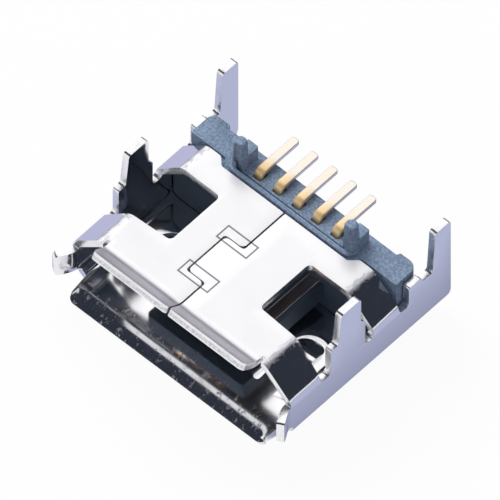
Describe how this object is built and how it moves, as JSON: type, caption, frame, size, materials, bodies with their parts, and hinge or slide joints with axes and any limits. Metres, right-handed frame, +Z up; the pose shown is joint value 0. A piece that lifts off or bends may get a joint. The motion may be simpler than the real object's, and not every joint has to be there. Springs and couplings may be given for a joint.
{
  "type": "micro usb socket",
  "caption": "Board-mounted micro USB socket: a folded, nickel-plated shell with flared mouth and solder legs round a moulded insulator that holds the contacts.",
  "frame": {"origin": "centre of the bounding box in plan, on the plane that the socket lies on, which its wide wall faces", "axes": "+X across the mouth, -Y out of the mouth, +Z up towards the board side with its legs, posts and solder tails"},
  "size_m": [0.0078, 0.0064, 0.0035],
  "materials": {
    "shell_steel": "bright nickel plate over a stamped and folded steel sheet, with white sheared edges",
    "insulator_plastic": "satin moulded high-temperature plastic, dark slate",
    "contact_gold": "pale gold flash over a stamped copper alloy"
  },
  "bodies": {
    "root": {"shell": "shell_steel", "housing": "insulator_plastic", "contact_1": "contact_gold", "contact_2": "contact_gold", "contact_3": "contact_gold", "contact_4": "contact_gold", "contact_5": "contact_gold"}
  },
  "joints": []
}
